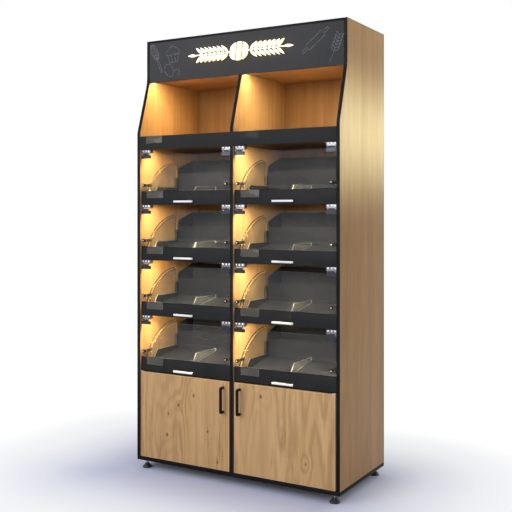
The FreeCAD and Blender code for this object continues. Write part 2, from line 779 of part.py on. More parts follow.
def make_doors():
    """Inset doors on top and bottom pivot pins, with a bow handle each."""
    wide = f"({COLUMN_WIDTH} - 2 * door_gap)"
    tall = "(door_top - door_bottom)"
    pin_y = "(door_front + pivot_deep)"
    bore_depth = "door_pin_length + 1"
    bar_y = "(door_front - (handle_out + door_front))"
    handle = plate("handle_bow", "handle_bar", (
        ("door_front", "0"),
        (bar_y, "0"),
        (bar_y, "handle_height"),
        ("door_front", "handle_height"),
        ("door_front", "handle_height - handle_bar"),
        (f"{bar_y} + handle_bar", "handle_height - handle_bar"),
        (f"{bar_y} + handle_bar", "handle_bar"),
        ("door_front", "handle_bar"),
    ))
    rounded(handle, "handle_round", "handle_corner", (bar_y, "0"), (bar_y, "handle_height"))
    pins, brackets = [], []
    for column, column_x in COLUMNS.items():
        if column == "left":
            pin_x = f"({column_x} + door_gap + pivot_in)"
            handle_x = f"{column_x} + door_gap + {wide} - handle_edge - handle_bar"
        else:
            pin_x = f"({column_x} + {COLUMN_WIDTH} - door_gap - pivot_in)"
            handle_x = f"{column_x} + door_gap + handle_edge"
        low = f"({BASE} + door_bottom)"
        high = f"({BASE} + door_top)"
        leaf = box(f"door_blank_{column}", (wide, "board", tall),
                   (f"{column_x} + door_gap", "door_front", low))
        bores = [cylinder(f"door_bore_{side}_{column}", "door_pin + running_gap",
                          bore_depth, (pin_x, pin_y, z))
                 for side, z in (("low", low), ("high", f"{high} - ({bore_depth})"))]
        node(f"door_{column}", cut(f"door_drilled_{column}", leaf, *bores))
        node(f"door_handle_{column}", copy(handle, f"handle_{column}", (
            handle_x, "0", f"{high} - handle_from_top - handle_height")))
        plate_low = f"({BASE} + door_zone - bracket)"
        bracket_x = f"{pin_x} - bracket_width / 2"
        brackets.append(joined(
            f"pivot_bracket_{column}",
            box(f"bracket_plate_{column}", ("bracket_width", "bracket_depth", "bracket"),
                (bracket_x, "door_front", plate_low)),
            box(f"bracket_packer_{column}",
                ("bracket_width", "bracket_depth + door_front - shelf_inset", "shelf_lift"),
                (bracket_x, "shelf_inset", f"{plate_low} + bracket"))))
        pins.append(cylinder(f"pin_low_{column}", "door_pin",
                             "door_bottom + door_pin_length", (pin_x, pin_y, BASE)))
        pins.append(cylinder(f"pin_high_{column}", "door_pin",
                             f"{plate_low} - {high} + door_pin_length",
                             (pin_x, pin_y, f"{high} - door_pin_length")))
    node("door_pivots", *brackets, *pins)


# ---------------------------------------------------------------- build and write

def check_and_write():
    doc.recompute()
    for item in doc.Objects:
        if "Invalid" in item.State or "Error" in item.State:
            raise RuntimeError(f"{item.Name} did not recompute: {item.State}")
    os.makedirs("parts", exist_ok=True)
    for item in nodes:
        if item.Shape.isNull() or not item.Shape.isValid() or not item.Shape.Solids:
            raise RuntimeError(f"{item.Label} has no valid solid")
        item.Shape.exportStep(f"parts/{item.Label}.step")
    print(len(nodes), "sub-parts written")


fill_sheet()
make_base()
make_centre_divider(make_sides())
make_boards()
make_top()
make_light_strips()
make_trays()
make_bearers()
make_guards_and_dividers()
make_hinge_mounts()
make_flaps()
make_crumb_drawers()
make_doors()
check_and_write()
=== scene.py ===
import json
import math

import bmesh
import bpy
from mathutils import Matrix, Vector


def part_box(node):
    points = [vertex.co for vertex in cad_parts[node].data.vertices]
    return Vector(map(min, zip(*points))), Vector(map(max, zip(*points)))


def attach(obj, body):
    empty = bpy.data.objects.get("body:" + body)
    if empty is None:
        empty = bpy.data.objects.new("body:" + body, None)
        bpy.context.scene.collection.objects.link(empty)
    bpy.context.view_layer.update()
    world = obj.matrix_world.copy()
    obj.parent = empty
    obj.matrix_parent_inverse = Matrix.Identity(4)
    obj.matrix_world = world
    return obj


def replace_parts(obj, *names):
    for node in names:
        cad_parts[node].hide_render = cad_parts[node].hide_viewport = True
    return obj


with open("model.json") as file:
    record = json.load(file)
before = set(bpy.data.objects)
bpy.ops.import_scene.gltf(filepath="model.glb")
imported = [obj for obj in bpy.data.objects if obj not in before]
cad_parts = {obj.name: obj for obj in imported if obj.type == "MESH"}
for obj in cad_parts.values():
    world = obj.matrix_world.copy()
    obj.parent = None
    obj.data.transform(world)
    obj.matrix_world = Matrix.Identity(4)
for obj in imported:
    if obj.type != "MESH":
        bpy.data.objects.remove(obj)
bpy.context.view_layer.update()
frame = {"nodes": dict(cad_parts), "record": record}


# ================================================================ studio
# A pale floor with a painted shadow pool round the rack that fades to white, one big
# soft lamp in front on the left, and two small ones that lay a cool band of light across
# the right side and along its head. The room round them is an even white.

view = bpy.data.objects.new("view", bpy.data.cameras.new("view"))
bpy.context.scene.collection.objects.link(view)
view.location = (2.256, -3.898, 1.396)
view.rotation_euler = (math.radians(90), 0, math.radians(30.19))
view.data.sensor_width = 36
view.data.lens = 59.39
view.data.shift_x = 0.0007
view.data.shift_y = -0.0904
bpy.context.scene.camera = view
bpy.context.scene.view_settings.view_transform = "Standard"


def softbox(name, width, height, power, place, target, colour=(1, 1, 1), spread=180):
    """A rectangular lamp at its place, turned to face a target."""
    lamp = bpy.data.lights.new(name, "AREA")
    lamp.shape, lamp.size, lamp.size_y = "RECTANGLE", width, height
    lamp.energy, lamp.color, lamp.spread = power, colour, math.radians(spread)
    holder = bpy.data.objects.new(name, lamp)
    bpy.context.scene.collection.objects.link(holder)
    holder.location = place
    direction = Vector(target) - Vector(place)
    holder.rotation_euler = direction.to_track_quat("-Z", "Y").to_euler()
    holder.visible_camera = False


softbox("front_lamp", 3.0, 3.0, power=102, place=(-1.8, -4.7, 3.1), target=(0, 0, 1.1))
softbox("side_band_lamp", 1.2, 0.18, power=2.75, place=(2.1, 0.30, 1.95),
        target=(0.6, 0.05, 1.77), colour=(0.75, 1.17, 1.52), spread=29)
softbox("side_top_lamp", 1.2, 0.3, power=0.7, place=(2.1, 0.30, 2.40),
        target=(0.6, 0.05, 2.35), colour=(1.0, 1.22, 1.50), spread=60)


def seen_directly(tree):
    """1 for the camera's own rays and those that metal and glass pass on, 0 for light."""
    rays = tree.nodes.new("ShaderNodeLightPath")
    total = rays.outputs["Is Camera Ray"]
    for more in ("Is Glossy Ray", "Is Transmission Ray"):
        either = tree.nodes.new("ShaderNodeMath")
        either.operation = "MAXIMUM"
        tree.links.new(total, either.inputs[0])
        tree.links.new(rays.outputs[more], either.inputs[1])
        total = either.outputs[0]
    return total


room_light, room_as_seen = 0.60, 1.0
world = bpy.data.worlds.new("white_room")
bpy.context.scene.world = world
world.use_nodes = True
background = world.node_tree.nodes["Background"]
background.inputs["Color"].default_value = (1, 1, 1, 1)
brightness = world.node_tree.nodes.new("ShaderNodeMapRange")
world.node_tree.links.new(seen_directly(world.node_tree), brightness.inputs["Value"])
brightness.inputs["To Min"].default_value = room_light
brightness.inputs["To Max"].default_value = room_as_seen
world.node_tree.links.new(brightness.outputs["Result"], background.inputs["Strength"])


class Finish:
    """A material under construction: its shader, and short ways to add and join nodes."""

    def __init__(self, name, rough=0.5, metal=0.0, colour=(0.5, 0.5, 0.5)):
        self.material = bpy.data.materials.new(name)
        self.material.use_nodes = True
        self.tree = self.material.node_tree
        self.shader = self.tree.nodes["Principled BSDF"]
        self.set("Roughness", rough)
        self.set("Metallic", metal)
        self.set("Base Color", colour)
        self.place = self.add("ShaderNodeTexCoord").outputs["Object"]

    def set(self, socket, value):
        """Gives one of the shader's sockets a value, or joins a node to it."""
        if isinstance(value, bpy.types.NodeSocket):
            self.tree.links.new(value, self.shader.inputs[socket])
        elif isinstance(value, tuple) and len(value) == 3 and "Color" in socket:
            self.shader.inputs[socket].default_value = (*value, 1)
        else:
            self.shader.inputs[socket].default_value = value

    def add(self, kind, inputs=(), **settings):
        """A new node, with its inputs given or joined."""
        node = self.tree.nodes.new(kind)
        for key, value in settings.items():
            setattr(node, key, value)
        for key, value in dict(inputs).items():
            if isinstance(value, bpy.types.NodeSocket):
                self.tree.links.new(value, node.inputs[key])
            else:
                node.inputs[key].default_value = value
        return node

    def sum(self, operation, a, b=0.0):
        return self.add("ShaderNodeMath", {0: a, 1: b}, operation=operation).outputs[0]

    def stretched(self, scale, shift=(0, 0, 0)):
        """The place on the piece, scaled and shifted."""
        return self.add("ShaderNodeMapping", {"Vector": self.place, "Scale": scale,
                                              "Location": shift}).outputs[0]

    def noise(self, where, scale, detail=3.0, rough=0.5):
        return self.add("ShaderNodeTexNoise", {"Vector": where, "Scale": scale,
                                               "Detail": detail, "Roughness": rough}
                        ).outputs["Fac"]

    def shade(self, amount, *stops):
        """A colour ramp from (position, colour) stops."""
        ramp = self.add("ShaderNodeValToRGB", {"Fac": amount})
        while len(ramp.color_ramp.elements) < len(stops):
            ramp.color_ramp.elements.new(0.5)
        for element, (position, colour) in zip(ramp.color_ramp.elements, stops):
            element.position, element.color = position, (*colour, 1)
        return ramp.outputs["Color"]

    def between(self, amount, low, high, start=0.0, end=1.0):
        """Moves a 0-1 pattern into the range low to high."""
        return self.add("ShaderNodeMapRange", {
            "Value": amount, "From Min": start, "From Max": end,
            "To Min": low, "To Max": high}).outputs["Result"]

    def mixed(self, amount, first, second):
        """One colour laid over another by an amount."""
        node = self.add("ShaderNodeMix", data_type="RGBA")
        for socket, value in ((0, amount), (6, first), (7, second)):
            if isinstance(value, bpy.types.NodeSocket):
                self.tree.links.new(value, node.inputs[socket])
            else:
                node.inputs[socket].default_value = value if socket == 0 else (*value, 1)
        return node.outputs[2]

    def relief(self, height, depth, strength=1.0):
        """Raises the surface by a pattern, to a depth in metres."""
        bump = self.add("ShaderNodeBump", {"Height": height, "Distance": depth,
                                           "Strength": strength})
        self.set("Normal", bump.outputs["Normal"])


def made(name, form, finishes, body):
    """Makes a named piece from a bmesh and hangs it on its body."""
    mesh = bpy.data.meshes.new(name)
    form.to_mesh(mesh)
    form.free()
    piece = bpy.data.objects.new(name, mesh)
    bpy.context.scene.collection.objects.link(piece)
    for finish in finishes:
        mesh.materials.append(finish)
    if body:
        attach(piece, body)
    return piece


# painted shadow pool: near the rack the floor shows a bluish shade colour under the
# lamps, with the rack's real shadow, and a ramp blends it to plain white further out,
# round the rack's footprint shifted to the front and the left
shadow_pool_shift, footprint_half = (0.08, 0.08, 0), (0.6, 0.28, 0)
floor_paint = Finish("pale_floor", 0.9, colour=(0.65, 0.70, 0.92))
floor_paint.set("Specular IOR Level", 0.1)
beyond = floor_paint.place
for operation, by in (("ADD", shadow_pool_shift), ("ABSOLUTE", (0, 0, 0)),
                      ("SUBTRACT", footprint_half), ("MAXIMUM", (0, 0, 0))):
    beyond = floor_paint.add("ShaderNodeVectorMath", {0: beyond, 1: by},
                             operation=operation).outputs[0]
distance = floor_paint.add("ShaderNodeVectorMath", {0: beyond}, operation="LENGTH")
# the ramp is the painted falloff of the shadow pool, in metres from the shifted footprint
painted_shadow_falloff = floor_paint.shade(distance.outputs["Value"], *(
    (metres, (whiteness,) * 3) for metres, whiteness in (
        (0.0, 0.0), (0.12, 0.14), (0.35, 0.50), (0.60, 0.75), (0.75, 0.82), (1.0, 1.0))))
white = floor_paint.add("ShaderNodeEmission", {"Color": (1, 1, 1, 1)})
blend = floor_paint.add("ShaderNodeMixShader", {
    "Fac": floor_paint.sum("MULTIPLY", painted_shadow_falloff, seen_directly(floor_paint.tree)),
    1: floor_paint.shader.outputs[0], 2: white.outputs[0]})
floor_paint.tree.links.new(blend.outputs[0],
                           floor_paint.tree.nodes["Material Output"].inputs["Surface"])

floor_disc = bmesh.new()
bmesh.ops.create_circle(floor_disc, cap_ends=True, segments=96, radius=9)
floor = made("floor", floor_disc, [floor_paint.material], None)


# ================================================================ base frame
# Flat steel tube, mitred and welded into one frame with a cross tube, and powder-coated
# black. It lifts the oak carcase clear of a washed floor.

def powder_coat(name, colour, rough=0.42, peel=0.00004):
    """Baked paint on steel: a faint orange peel, dust and a slight change of sheen."""
    paint = Finish(name, rough)
    cloud = paint.noise(paint.place, 6, 4)
    pale = tuple(min(1.0, c * 1.22 + 0.004) for c in colour)
    paint.set("Base Color", paint.shade(cloud, (0.32, colour), (0.72, pale)))
    paint.set("Roughness", paint.between(cloud, rough - 0.05, rough + 0.07))
    paint.set("Specular IOR Level", 0.08)
    paint.relief(paint.noise(paint.place, 620, 2), peel)
    return paint.material


def settle(piece):
    """Turns a piece and its modifiers into a plain mesh."""
    graph = bpy.context.evaluated_depsgraph_get()
    mesh = bpy.data.meshes.new_from_object(piece.evaluated_get(graph), depsgraph=graph)
    piece.modifiers.clear()
    piece.data = mesh
    return piece


def ease(piece, radius, segments=2, broken=-1):
    """Breaks the sharp edges by a small radius and keeps the flats flat. The new faces
    take the finish with the number broken."""
    for face in piece.data.polygons:
        face.use_smooth = True
    bevel = piece.modifiers.new("broken_edges", "BEVEL")
    bevel.width, bevel.segments = radius, segments
    bevel.limit_method, bevel.angle_limit = "ANGLE", math.radians(40)
    bevel.use_clamp_overlap = False
    bevel.harden_normals = True
    bevel.material = broken
    return settle(piece)


carrier = {node: body for body, nodes in frame["record"]["behaviour"]["bodies"].items()
           for node in nodes}


def dressed(node, radius, finishes, choose=None, segments=2, broken=-1, thin=False):
    """The cut part with its edges broken. It takes the plain part's place, and choose
    gives each face the number of its finish. Thin sheet has its narrow rims cut into
    straight lengths first."""
    form = bmesh.new()
    form.from_mesh(frame["nodes"][node].data)
    bmesh.ops.remove_doubles(form, verts=form.verts, dist=0.00001)
    bmesh.ops.dissolve_limit(form, angle_limit=math.radians(0.5), verts=form.verts,
                             edges=form.edges)
    form.normal_update()
    if thin:
        bmesh.ops.connect_verts_concave(
            form, faces=[face for face in form.faces if len(face.verts) > 4])
    if choose:
        for face in form.faces:
            face.material_index = choose(face)
    piece = made(node + "_dressed", form, finishes, None)
    ease(piece, radius, segments, broken=broken)
    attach(piece, carrier[node])
    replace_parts(piece, node)
    return piece


black_steel = powder_coat("black_powder_coat", (0.006, 0.006, 0.007), 0.38)
dressed("base_frame", 0.002, [black_steel])


# ================================================================ levelling feet
# Black moulded feet with a conical body on a zinc-plated stud, locked under the frame
# with a thin nut. They are screwed in or out to level the rack.

def lathe(profile, centre, axis="z", segments=40, smooth=40):
    """A turned form from (radius, length) points, along an axis from centre."""
    form = bmesh.new()
    rings = []
    for radius, height in profile:
        if radius < 1e-6:
            rings.append([form.verts.new((0, 0, height))])
        else:
            rings.append([form.verts.new((radius * math.cos(turn), radius * math.sin(turn),
                                          height))
                          for turn in (2 * math.pi * n / segments for n in range(segments))])
    for low, high in zip(rings, rings[1:]):
        for n in range(segments):
            corners = [low[n % len(low)], low[(n + 1) % len(low)],
                       high[(n + 1) % len(high)], high[n % len(high)]]
            form.faces.new(list(dict.fromkeys(corners)))
    turns = {"z": Matrix.Identity(4), "y": Matrix.Rotation(math.radians(-90), 4, "X"),
             "x": Matrix.Rotation(math.radians(90), 4, "Y")}
    form.transform(Matrix.Translation(centre) @ turns[axis])
    bmesh.ops.recalc_face_normals(form, faces=form.faces)
    for face in form.faces:
        face.smooth = True
    for edge in form.edges:
        edge.smooth = len(edge.link_faces) == 2 and \
            edge.calc_face_angle(0) < math.radians(smooth)
    return form


def merged(forms):
    """Several forms as one."""
    whole = bmesh.new()
    for form in forms:
        spare = bpy.data.meshes.new("spare")
        form.to_mesh(spare)
        form.free()
        whole.from_mesh(spare)
        bpy.data.meshes.remove(spare)
    return whole


moulded_black = Finish("moulded_black_plastic", 0.45, colour=(0.016, 0.016, 0.017))
moulded_black.relief(moulded_black.noise(moulded_black.place, 900, 2), 0.00004)
zinc = Finish("zinc_plate", 0.34, 1.0)
zinc.set("Base Color", zinc.shade(zinc.noise(zinc.place, 160, 3),
                                  (0.35, (0.42, 0.43, 0.44)), (0.7, (0.58, 0.58, 0.57))))

foot_out, foot_front, foot_rear = 0.558, -0.229, 0.261
foot_spots = [(x, y) for x in (-foot_out, foot_out) for y in (foot_front, foot_rear)]
foot_line = [(0, 0), (0.0228, 0), (0.0242, 0.0006), (0.025, 0.002), (0.025, 0.0062),
             (0.0243, 0.0078), (0.0230, 0.0090), (0.0165, 0.0160), (0.0118, 0.0210),
             (0.0096, 0.0245), (0.0088, 0.0254), (0.0052, 0.0258)]
feet = merged([lathe(foot_line, (x, y, 0), smooth=50) for x, y in foot_spots])
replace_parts(made("levelling_feet_moulded", feet, [moulded_black.material], "carcase"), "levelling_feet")

# the stud's thread is a row of fine rings, and the nut is a chamfered hexagon
thread_foot, thread_pitch, thread_turns, stud_top = 0.0258, 0.0012, 9, 0.0632
stud_line = [(0.0049, 0.0252)]
for turn in range(thread_turns):
    low = thread_foot + turn * thread_pitch
    stud_line += [(0.0050, low + 0.0003), (0.0043, low + 0.0009)]
stud_line += [(0.0049, 0.0370), (0.0049, stud_top), (0, stud_top)]
nut_bore, nut_face, nut_corner, nut_low, nut_high = 0.0051, 0.0082, 0.0097, 0.0371, 0.0449
nut_line = [(nut_bore, nut_low), (nut_face, nut_low), (nut_corner, nut_low + 0.0009),
            (nut_corner, nut_high - 0.0009), (nut_face, nut_high), (nut_bore, nut_high)]
studs = [lathe(stud_line, (x, y, 0), segments=24, smooth=60) for x, y in foot_spots]
nuts = [lathe(nut_line, (x, y, 0), segments=6, smooth=20) for x, y in foot_spots]
made("foot_studs_and_nuts", merged(studs + nuts), [zinc.material], "carcase")


# ================================================================ side panels
# Two oak-faced boards with the grain upright. They stand straight, lean back behind the
# open bins and stand straight again beside the fascia.

def oak(name, grain, tone, rings=9, knots=(), figure=0.34, seed=0.0, wild=0.0):
    """Oiled oak veneer with its grain along one axis: growth lines, pores and flecks.
    The tone is the stain's strength in red, green and blue.
    A knot is (x, z, radius), and the growth lines bend round it. Wild wood has ragged
    growth lines and dark checks."""
    def grainwise(along, across):
        """Scales a pattern along the grain and across it."""
        return (along, across, across) if grain == "x" else (across, across, along)

    wood = Finish(name, 0.5)
    drift = wood.noise(wood.stretched((1.0, 1.0, 0.35), (seed, 1.7, 0.3)), 1.6, 2)
    field = wood.noise(wood.stretched(grainwise(0.09, 1), (seed, seed * 0.7, 0.4)), 5.2, 2.5,
                       0.45)
    field = wood.sum("ADD", field, wood.sum("MULTIPLY", drift, 0.5))
    if wild:
        ragged = wood.noise(wood.stretched(grainwise(14, 90), (seed, 3.1, 0.8)), 1.0, 4, 0.65)
        field = wood.sum("ADD", field, wood.sum("MULTIPLY", ragged, 0.055 * wild))
    dark = None
    for x, z, radius in knots:
        near = wood.add("ShaderNodeVectorMath", {0: wood.place, 1: (x, 0, z)},
                        operation="SUBTRACT").outputs[0]
        near = wood.add("ShaderNodeVectorMath", {0: near, 1: (1 / radius, 0, 0.8 / radius)},
                        operation="MULTIPLY").outputs[0]
        near = wood.add("ShaderNodeVectorMath", {0: near}, operation="LENGTH").outputs["Value"]
        bend = wood.sum("POWER", 0.84, near)
        field = wood.sum("ADD", field, wood.sum("MULTIPLY", bend, 0.16))
        core = wood.between(near, 1.0, 0.0, 0.35, 1.3)
        dark = core if dark is None else wood.sum("MAXIMUM", dark, core)
    lines = wood.sum("FRACT", wood.sum("MULTIPLY", field, rings))
    lines = wood.sum("PINGPONG", lines, 0.5)
    lines = wood.between(lines, 1.0, 0.0, 0.04, 0.34)
    patches = wood.noise(wood.stretched(grainwise(1.3, 5), (seed, 4.0, 2.0)), 1.0, 2)
    lines = wood.sum("MULTIPLY", lines, wood.between(patches, 0.15, 1.0, 0.42, 0.62))
    pores = wood.noise(wood.stretched(grainwise(7, 330)), 1.0, 3, 0.65)
    broad = wood.noise(wood.stretched(grainwise(1.1, 26)), 1.0, 3)
    bare_oak = (0.290, 0.168, 0.078), (0.428, 0.264, 0.128), (0.485, 0.306, 0.156)
    deep, mid, pale = (tuple(c * t for c, t in zip(each, tone)) for each in bare_oak)
    colour = wood.shade(broad, (0.22, tuple((a + b) / 2 for a, b in zip(deep, mid))),
                        (0.5, mid), (0.78, pale))
    grown = wood.mixed(wood.sum("MULTIPLY", lines, figure), colour, deep)
    grown = wood.mixed(wood.between(pores, 0.30, 0.0, 0.30, 0.50), grown,
                       tuple(c * 0.66 for c in deep))
    if wild:
        checks = wood.noise(wood.stretched(grainwise(2.4, 60), (seed * 2, 0.6, 5.0)), 1.0, 4,
                            0.7)
        grown = wood.mixed(wood.between(checks, 0.0, 0.62 * wild, 0.60, 0.70), grown,
                           tuple(c * 0.55 for c in deep))
    if dark is not None:
        knot_brown = (0.110, 0.050, 0.020)
        grown = wood.mixed(wood.sum("MULTIPLY", dark, 0.9), grown, knot_brown)
    wood.set("Base Color", grown)
    wood.set("Roughness", wood.between(pores, 0.58, 0.44, 0.3, 0.6))
    wood.set("Specular IOR Level", 0.14)
    wood.relief(pores, 0.00010, 0.6)
    return wood.material


sanded_edge = 0.0006
upright_oak = oak("upright_oak", "z", (1.12, 1.02, 0.83), seed=2.3)
dressed("side_panel_left", sanded_edge, [upright_oak])
dressed("side_panel_right", sanded_edge, [upright_oak])


# ================================================================ edge bands
# Two-millimetre black plastic edging, glued all round the sides and down the front of
# the divider. Its corners are scraped round, which gives a thin line of light.

edging = Finish("black_edging", 0.36)
edging.set("Base Color", edging.shade(edging.noise(edging.place, 9, 3),
                                      (0.35, (0.006, 0.006, 0.008)),
                                      (0.7, (0.011, 0.012, 0.016))))
edging.set("Specular IOR Level", 0.08)
edging.relief(edging.noise(edging.place, 900, 2), 0.00003)
dressed("edge_bands", 0.0007, [edging.material])


# ================================================================ divider and boards
# Eighteen-millimetre oak-faced boards set between the sides: the divider, the cell
# shelves and bin floors with their undersides painted dark brown as painted shade, the
# cupboard's bottom and shelves, the canopy over the bins, and a black roof board.

inner_oak = oak("inner_oak", "z", (1.0, 1.02, 1.0), figure=0.30, seed=5.1)
level_oak = oak("level_oak", "x", (0.94, 0.92, 0.86), seed=7.7)
painted_shade_underside = oak("painted_shade_underside", "x", (0.24, 0.21, 0.21), figure=0.3, seed=1.9)
above_canopy = 2.2
dressed("centre_divider", sanded_edge, [inner_oak])
dressed("bottom_boards", sanded_edge, [level_oak])
dressed("cupboard_shelves", sanded_edge, [level_oak])
# faces that look down get the dark brown oak: painted shade under the shelves
dressed("shelf_boards", sanded_edge, [level_oak, painted_shade_underside],
        lambda face: 1 if face.normal.z < -0.9 else 0)
dressed("top_boards", sanded_edge, [level_oak, edging.material],
        lambda face: 1 if face.calc_center_median().z > above_canopy else 0)


# ================================================================ fascia and bin rail
# Graphite boards with a matt, slightly grained face. The fascia closes the head of the
# rack, and the rail keeps the loaves in the two bins.

def graphite_board(name, colour):
    """Matt graphite laminate with a faint weave along the board."""
    board = Finish(name, 0.55)
    weave = board.noise(board.stretched((40, 1, 420)), 1.0, 4, 0.6)
    cloud = board.noise(board.place, 3.5, 3)
    tone = board.sum("ADD", board.sum("MULTIPLY", weave, 0.35),
                     board.sum("MULTIPLY", cloud, 0.65))
    board.set("Base Color", board.shade(tone, (0.3, tuple(c * 0.86 for c in colour)),
                                        (0.7, tuple(c * 1.16 for c in colour))))
    board.set("Roughness", board.between(weave, 0.50, 0.62))
    board.set("Specular IOR Level", 0.08)
    board.relief(weave, 0.00006)
    return board.material


dressed("fascia_board", 0.0008, [graphite_board("graphite_fascia", (0.061, 0.061, 0.0625))])
dressed("bin_rail", 0.0008, [graphite_board("graphite_rail", (0.0265, 0.0268, 0.0270))])


# ================================================================ lit ornament
# A loaf between two ears of wheat, cut from thick opal acrylic. It stands off the fascia
# on short pins, its face glows white and its back throws a warm rim on the board.

def lit_acrylic(name, colour, deep, pale, strength):
    """Opal acrylic with lamps behind it: a glow that is very slightly uneven."""
    lit = Finish(name, 0.4, colour=colour)
    lit.set("Emission Color", lit.shade(lit.noise(lit.place, 30, 2), (0.3, deep), (0.7, pale)))
    lit.set("Emission Strength", strength)
    return lit.material


lit_face = lit_acrylic("opal_lit_face", (0.95, 0.94, 0.90), (1.0, 0.97, 0.88),
                       (1.0, 0.99, 0.94), 1.1)
lit_rim = lit_acrylic("opal_warm_rim", (0.95, 0.80, 0.50), (1.0, 0.62, 0.20),
                      (1.0, 0.70, 0.28), 1.3)
fascia_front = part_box("fascia_board")[0][1]
ornament_back, ornament_front, ornament_z = fascia_front - 0.007, fascia_front - 0.017, 2.212


def cut_out(outline, front, back):
    """A flat shape cut from sheet: (x, z) corners, given a front and a back plane."""
    form = bmesh.new()
    face = form.faces.new([form.verts.new((x, front, z)) for x, z in outline])
    thick = bmesh.ops.extrude_face_region(form, geom=[face])["geom"]
    bmesh.ops.translate(form, vec=(0, back - front, 0),
                        verts=[item for item in thick if isinstance(item, bmesh.types.BMVert)])
    bmesh.ops.recalc_face_normals(form, faces=form.faces)
    for face in form.faces:
        face.material_index = 0 if face.normal.y < -0.5 else 1
    return form


def grain_outline(length, width, steps=9):
    """The almond shape of one wheat grain, from its foot at (0, 0)."""
    upper = [(length * n / steps, width / 2 * math.sin(math.pi * (n / steps) ** 0.8))
             for n in range(1, steps)]
    return [(0, 0), *upper, (length, 0), *[(x, -z) for x, z in reversed(upper)]]


def node_tree(name, inputs):
    """A new geometry node tree with named inputs, and its two end nodes."""
    group = bpy.data.node_groups.new(name, "GeometryNodeTree")
    for socket, kind in inputs:
        group.interface.new_socket(socket, in_out="INPUT", socket_type="NodeSocket" + kind)
    group.interface.new_socket("Result", in_out="OUTPUT", socket_type="NodeSocketGeometry")
    return group, group.nodes.new("NodeGroupInput"), group.nodes.new("NodeGroupOutput")


def shaped(piece, group, values):
    """Runs a node tree on a piece with its inputs given by name, and keeps the result."""
    maker = piece.modifiers.new("node_tree", "NODES")
    maker.node_group = group
    sockets = {item.name: item.identifier for item in group.interface.items_tree}
    for name, value in values.items():
        maker[sockets[name]] = value
    return settle(piece)


def painted(group, geometry, given, names):
    """Ends a node tree: sets each named finish on the faces that carry its number."""
    nodes, link = group.nodes, group.links.new
    number = nodes.new("GeometryNodeInputMaterialIndex")
    for n, name in enumerate(names):
        same = nodes.new("FunctionNodeCompare")
        same.data_type, same.operation = "INT", "EQUAL"
        link(number.outputs[0], same.inputs["A"])
        same.inputs["B"].default_value = n
        coat = nodes.new("GeometryNodeSetMaterial")
        link(geometry, coat.inputs["Geometry"])
        link(same.outputs[0], coat.inputs["Selection"])
        link(given.outputs[name], coat.inputs["Material"])
        geometry = coat.outputs[0]
    return geometry


def ear_of_grains():
    """Geometry nodes: pairs of grains that lean out from a stem."""
    group, given, result = node_tree("ear_of_grains", (
        ("Grain", "Object"), ("Pairs", "Int"), ("Spacing", "Float"), ("Lean", "Float"),
        ("Face", "Material"), ("Rim", "Material")))
    nodes, link = group.nodes, group.links.new
    found = nodes.new("GeometryNodeObjectInfo")
    link(given.outputs["Grain"], found.inputs["Object"])
    stem = nodes.new("GeometryNodeMeshLine")
    link(given.outputs["Pairs"], stem.inputs["Count"])
    step = nodes.new("ShaderNodeCombineXYZ")
    link(given.outputs["Spacing"], step.inputs["X"])
    link(step.outputs[0], stem.inputs["Offset"])
    whole = nodes.new("GeometryNodeJoinGeometry")
    for side in (1, -1):
        lean = nodes.new("ShaderNodeMath")
        lean.operation = "MULTIPLY"
        link(given.outputs["Lean"], lean.inputs[0])
        lean.inputs[1].default_value = -side
        turn = nodes.new("ShaderNodeCombineXYZ")
        link(lean.outputs[0], turn.inputs["Y"])
        placed = nodes.new("GeometryNodeInstanceOnPoints")
        link(stem.outputs[0], placed.inputs["Points"])
        link(found.outputs["Geometry"], placed.inputs["Instance"])
        link(turn.outputs[0], placed.inputs["Rotation"])
        shift = nodes.new("GeometryNodeTransform")
        shift.inputs["Translation"].default_value = (0, 0, off_stem * side)
        link(placed.outputs[0], shift.inputs["Geometry"])
        link(shift.outputs[0], whole.inputs[0])
    solid = nodes.new("GeometryNodeRealizeInstances")
    link(whole.outputs[0], solid.inputs[0])
    link(painted(group, solid.outputs[0], given, ("Face", "Rim")), result.inputs[0])
    return group


grain_length, grain_width, grain_pairs, grain_spacing, grain_lean = 0.052, 0.0135, 7, 0.0262, 42
ear_start, stem_foot, stem_tip, stem_half, off_stem = 0.068, -0.022, 0.196, 0.0022, 0.0045
ear_group = ear_of_grains()


def one_grain():
    """A grain that lies along X, with its foot on the stem."""
    return cut_out(grain_outline(grain_length, grain_width), ornament_front, ornament_back)


grain = made("wheat_grain", one_grain(), [lit_face, lit_rim], None)
for side, turn in (("left", 180), ("right", 0)):
    ear = shaped(made("ear", bmesh.new(), [], None), ear_group, {
        "Grain": grain, "Pairs": grain_pairs, "Spacing": grain_spacing,
        "Lean": math.radians(grain_lean), "Face": lit_face, "Rim": lit_rim})
    paired_grains = bmesh.new()
    paired_grains.from_mesh(ear.data)
    bpy.data.objects.remove(ear)
    tip = one_grain()
    tip.transform(Matrix.Translation((stem_tip, 0, 0)))
    stem = cut_out([(stem_foot, -stem_half), (stem_tip, -stem_half), (stem_tip, stem_half),
                    (stem_foot, stem_half)], ornament_front + 0.002, ornament_back)
    form = merged([paired_grains, tip, stem])
    form.transform(Matrix.Translation((0, 0, ornament_z)) @ Matrix.Rotation(
        math.radians(turn), 4, "Y") @ Matrix.Translation((ear_start, 0, 0)))
    made(f"ornament_ear_{side}", form, [lit_face, lit_rim], "carcase")
bpy.data.objects.remove(grain)

